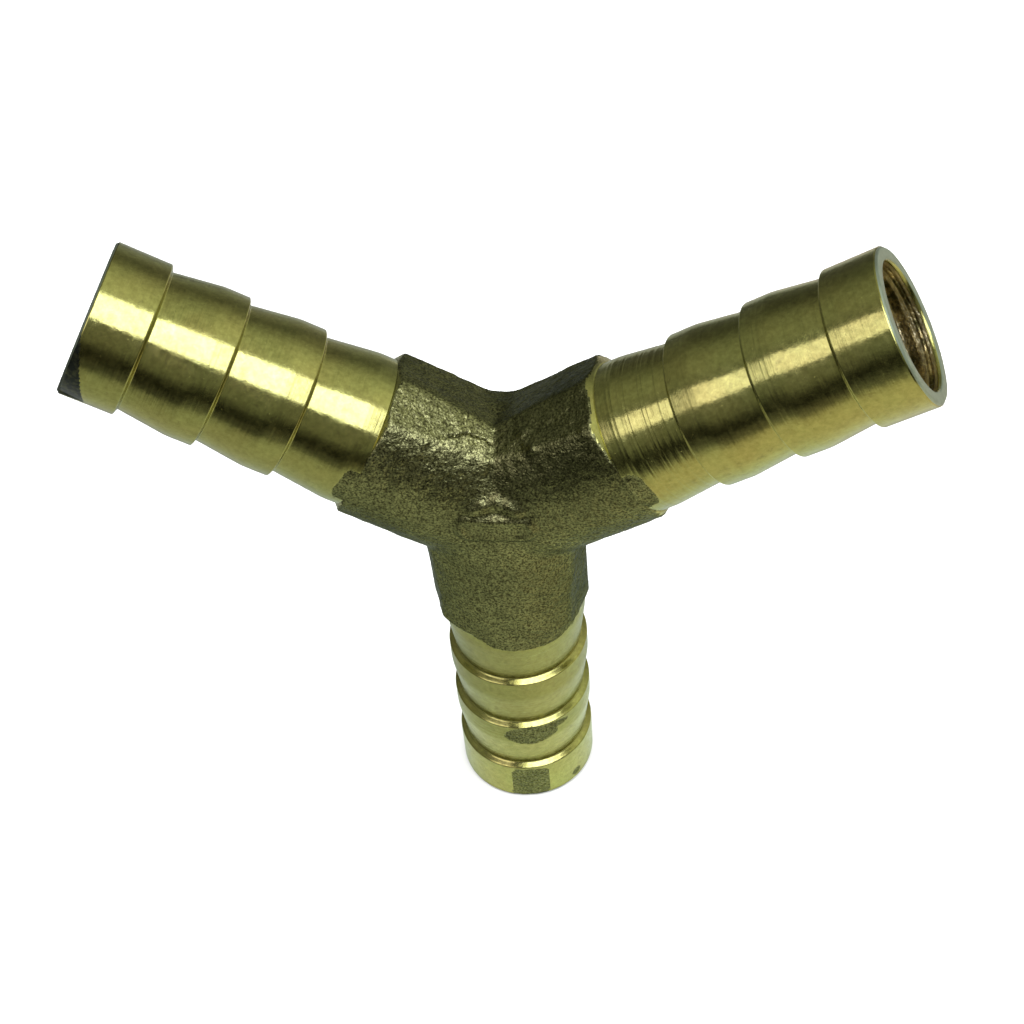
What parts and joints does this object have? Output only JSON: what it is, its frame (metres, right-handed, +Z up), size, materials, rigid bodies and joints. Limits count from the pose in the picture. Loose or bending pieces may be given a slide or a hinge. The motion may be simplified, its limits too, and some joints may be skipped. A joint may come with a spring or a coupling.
{
  "type": "barbed hose connector",
  "caption": "Brass Y connector that joins hoses at 120 degrees, with turned barbed tails on a faceted forged hub.",
  "frame": {"origin": "where the axes of the tails meet, inside the hub", "axes": "the connector stands upright in the XZ plane: -Z out along the lower tail, +X to the right tail's side, +Z up between the two upper tails, -Y out of the front face with the blank pad"},
  "size_m": [0.087, 0.0169, 0.0755],
  "materials": {
    "forged_brass": "as-forged skin, matt and finely grained",
    "turned_brass": "turned, bright, with fine tool rings"
  },
  "bodies": {
    "root": {"forged_hub": "forged_brass", "left_hose_tail": "turned_brass", "right_hose_tail": "turned_brass", "lower_hose_tail": "turned_brass"}
  },
  "joints": []
}
